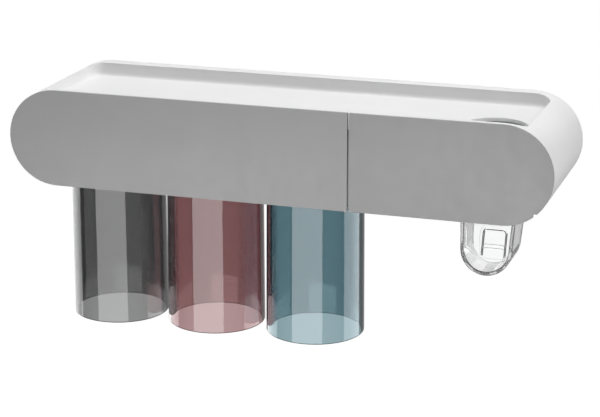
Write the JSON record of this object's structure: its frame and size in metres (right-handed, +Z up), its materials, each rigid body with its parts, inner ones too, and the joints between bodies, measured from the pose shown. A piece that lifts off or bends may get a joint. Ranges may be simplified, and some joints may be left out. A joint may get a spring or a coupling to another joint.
{
  "type": "bathroom toothbrush shelf",
  "caption": "Wall-mounted toothbrush shelf with a sunken top tray, brush comb behind a grey fascia, magnetic hanging cups and a pull-out toothpaste squeezer with a clear push lever.",
  "frame": {"origin": "middle of the adhesive pad's back face, in the plane of the wall", "axes": "+X to the right seen from the front, along the shelf's length; +Y into the wall; +Z up"},
  "size_m": [0.38, 0.1045, 0.1756],
  "materials": {
    "white_plastic": "fine satin moulded",
    "grey_plastic": "matte moulded",
    "clear_plastic": "polished clear",
    "smoke_cup": "translucent, polished",
    "pink_cup": "translucent, polished",
    "blue_cup": "translucent, polished",
    "silicone": "matte",
    "steel": "plain",
    "magnet": "nickel plated",
    "foam_tape": "soft adhesive foam"
  },
  "bodies": {
    "wall_mount": {"adhesive_pad": "foam_tape", "wall_plate": "white_plastic"},
    "shelf": {"tray_housing": "white_plastic", "base_plate": "white_plastic", "brush_comb": "white_plastic", "left_fascia": "grey_plastic", "base_screw_1": "steel", "base_screw_2": "steel", "base_screw_3": "steel", "base_screw_4": "steel", "base_screw_5": "steel", "base_screw_6": "steel", "magnet_1": "magnet", "magnet_2": "magnet", "magnet_3": "magnet", "magnet_cap_1": "white_plastic", "magnet_cap_2": "white_plastic", "magnet_cap_3": "white_plastic"},
    "squeezer": {"squeezer_frame": "grey_plastic", "right_fascia": "grey_plastic", "tube_seal": "silicone", "pump_body": "white_plastic", "inlet_valve": "silicone", "nozzle": "white_plastic", "outlet_valve": "silicone", "pump_dome": "silicone", "return_spring": "steel", "pump_screw_1": "steel", "pump_screw_2": "steel"},
    "push_lever": {"push_lever": "clear_plastic"},
    "grey_cup": {"cup_grey": "smoke_cup", "cup_disc_grey": "steel"},
    "pink_cup": {"cup_pink": "pink_cup", "cup_disc_pink": "steel"},
    "blue_cup": {"cup_blue": "blue_cup", "cup_disc_blue": "steel"}
  },
  "joints": [
    {"name": "shelf_lift", "type": "slide", "parent": "wall_mount", "child": "shelf", "axis": [0, 0, 1], "range_m": [0, 0.012]},
    {"name": "squeezer_pull", "type": "slide", "parent": "shelf", "child": "squeezer", "axis": [0, -1, 0], "range_m": [0, 0.09]},
    {"name": "lever_push", "type": "hinge", "parent": "squeezer", "child": "push_lever", "pos_m": [0.1443, -0.0645, 0.004], "axis": [1, 0, 0], "range_deg": [0, 11], "stiffness_Nm_per_rad": 0.25, "springref_deg": -11.46, "deforming": ["pump_dome", "return_spring"]},
    {"name": "grey_cup_pull", "type": "slide", "parent": "shelf", "child": "grey_cup", "axis": [0, 0, -1], "range_m": [0, 0.04]},
    {"name": "pink_cup_pull", "type": "slide", "parent": "shelf", "child": "pink_cup", "axis": [0, 0, -1], "range_m": [0, 0.04]},
    {"name": "blue_cup_pull", "type": "slide", "parent": "shelf", "child": "blue_cup", "axis": [0, 0, -1], "range_m": [0, 0.04]}
  ]
}
